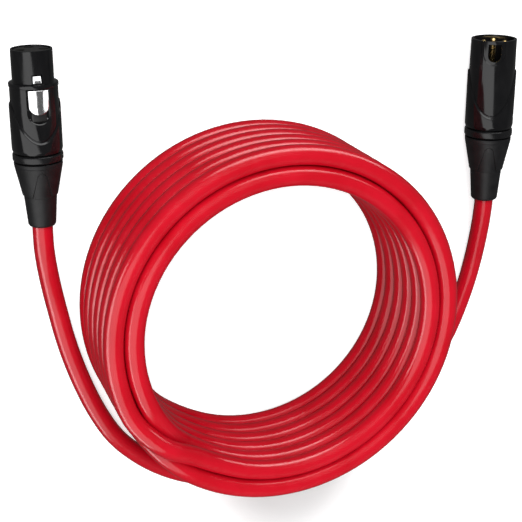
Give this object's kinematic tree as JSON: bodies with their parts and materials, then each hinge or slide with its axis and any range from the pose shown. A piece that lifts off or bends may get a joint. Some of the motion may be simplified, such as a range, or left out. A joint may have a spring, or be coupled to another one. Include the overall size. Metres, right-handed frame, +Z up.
{
  "type": "coiled microphone cable",
  "caption": "Coiled round audio cable with a latching female plug at one end and a male pin plug at the other.",
  "frame": {"origin": "middle of the footprint, on the surface the coil lies on", "axes": "+Z up out of the surface and along the coil's axis, +Y towards both plugs' open ends, +X from the female plug to the male plug"},
  "size_m": [0.2132, 0.2009, 0.05],
  "materials": {
    "cord_jacket": "satin",
    "shell_black": "glossy black plating",
    "ring_black": "satin",
    "boot_rubber": "satin",
    "nut_plastic": "matte",
    "insert_plastic": "matte",
    "wire_shield": "bare copper",
    "wire_red": "glossy",
    "wire_white": "glossy",
    "contact_gold": "gold plated",
    "latch_chrome": "polished",
    "pin_steel": "bright"
  },
  "bodies": {
    "cable": {"cord_coil": "cord_jacket", "cord_tail_female": "cord_jacket", "cord_tail_male": "cord_jacket", "female_housing": "shell_black", "female_coding_ring": "ring_black", "female_chuck": "nut_plastic", "female_insert": "insert_plastic", "female_wire_1": "wire_shield", "female_wire_2": "wire_red", "female_wire_3": "wire_white", "male_housing": "shell_black", "male_coding_ring": "ring_black", "male_chuck": "nut_plastic", "male_insert": "insert_plastic", "male_wire_1": "wire_shield", "male_wire_2": "wire_red", "male_wire_3": "wire_white", "female_contact_1": "contact_gold", "male_pin_1": "contact_gold", "female_contact_2": "contact_gold", "male_pin_2": "contact_gold", "female_contact_3": "contact_gold", "male_pin_3": "contact_gold", "female_latch_pin": "pin_steel", "female_latch_spring": "pin_steel"},
    "female_boot": {"female_boot": "boot_rubber", "female_boot_nut": "nut_plastic"},
    "male_boot": {"male_boot": "boot_rubber", "male_boot_nut": "nut_plastic"},
    "female_latch": {"female_latch": "latch_chrome"}
  },
  "joints": [
    {"name": "female_latch_press", "type": "hinge", "parent": "cable", "child": "female_latch", "pos_m": [-0.09658, 0.0749, 0.016], "axis": [-0.9997, 0, 0.0262], "range_deg": [0, 4.5], "stiffness_Nm_per_rad": 0.15, "springref_deg": -4.58},
    {"name": "female_boot_turn", "type": "hinge", "parent": "cable", "child": "female_boot", "pos_m": [-0.09675, 0.045, 0.0096], "axis": [0, 1, 0], "continuous": true},
    {"name": "male_boot_turn", "type": "hinge", "parent": "cable", "child": "male_boot", "pos_m": [0.09675, 0.04, 0.0102], "axis": [0, 1, 0], "continuous": true}
  ]
}
